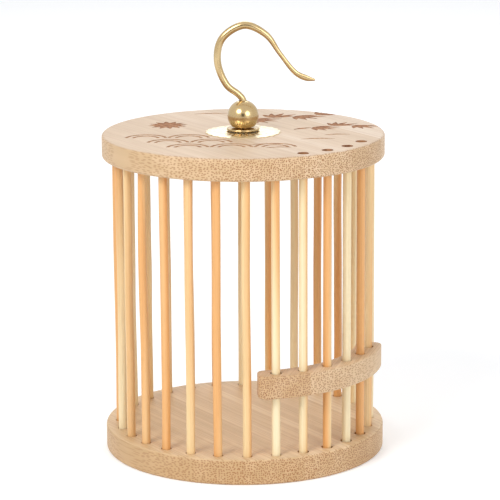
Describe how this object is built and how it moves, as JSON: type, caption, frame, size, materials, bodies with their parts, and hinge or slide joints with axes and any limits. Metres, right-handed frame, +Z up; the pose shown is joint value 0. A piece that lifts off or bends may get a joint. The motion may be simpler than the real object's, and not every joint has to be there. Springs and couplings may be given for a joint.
{
  "type": "cricket cage",
  "caption": "Round bamboo cricket cage: two boards joined by rods, a sliding rod door and a swivelling brass hanging hook.",
  "frame": {"origin": "centre of the base board's underside", "axes": "+Z up, the sliding door faces -Y"},
  "size_m": [0.1, 0.1, 0.1538],
  "materials": {
    "board": "sanded laminated bamboo board, satin",
    "rod": "split and scraped bamboo rod, satin",
    "bar": "sanded laminated bamboo, satin",
    "brass": "polished brass"
  },
  "bodies": {
    "cage": {"base_board": "board", "top_board": "board", "cage_rod_01": "rod", "cage_rod_02": "rod", "cage_rod_03": "rod", "cage_rod_04": "rod", "cage_rod_05": "rod", "cage_rod_06": "rod", "cage_rod_07": "rod", "cage_rod_08": "rod", "cage_rod_09": "rod", "cage_rod_10": "rod", "cage_rod_11": "rod", "cage_rod_12": "rod", "cage_rod_13": "rod", "cage_rod_14": "rod", "cage_rod_15": "rod", "cage_rod_16": "rod", "cage_rod_17": "rod", "cage_rod_18": "rod", "cage_rod_19": "rod", "cage_rod_20": "rod", "cage_rod_21": "rod", "cage_rod_22": "rod", "guide_rod_1": "rod", "guide_rod_2": "rod", "scalloped_plate": "brass", "ball_ferrule": "brass", "hook_washer": "brass"},
    "door": {"door_bar": "bar", "door_rod_1": "rod", "door_rod_2": "rod", "door_rod_3": "rod", "door_rod_4": "rod"},
    "hook": {"hook_wire": "brass", "hook_nut": "brass"}
  },
  "joints": [
    {"name": "door_slide", "type": "slide", "parent": "cage", "child": "door", "axis": [0, 0, 1], "range_m": [0, 0.0675]},
    {"name": "hook_swivel", "type": "hinge", "parent": "cage", "child": "hook", "pos_m": [0, 0, 0.12], "axis": [0, 0, 1], "continuous": true}
  ]
}
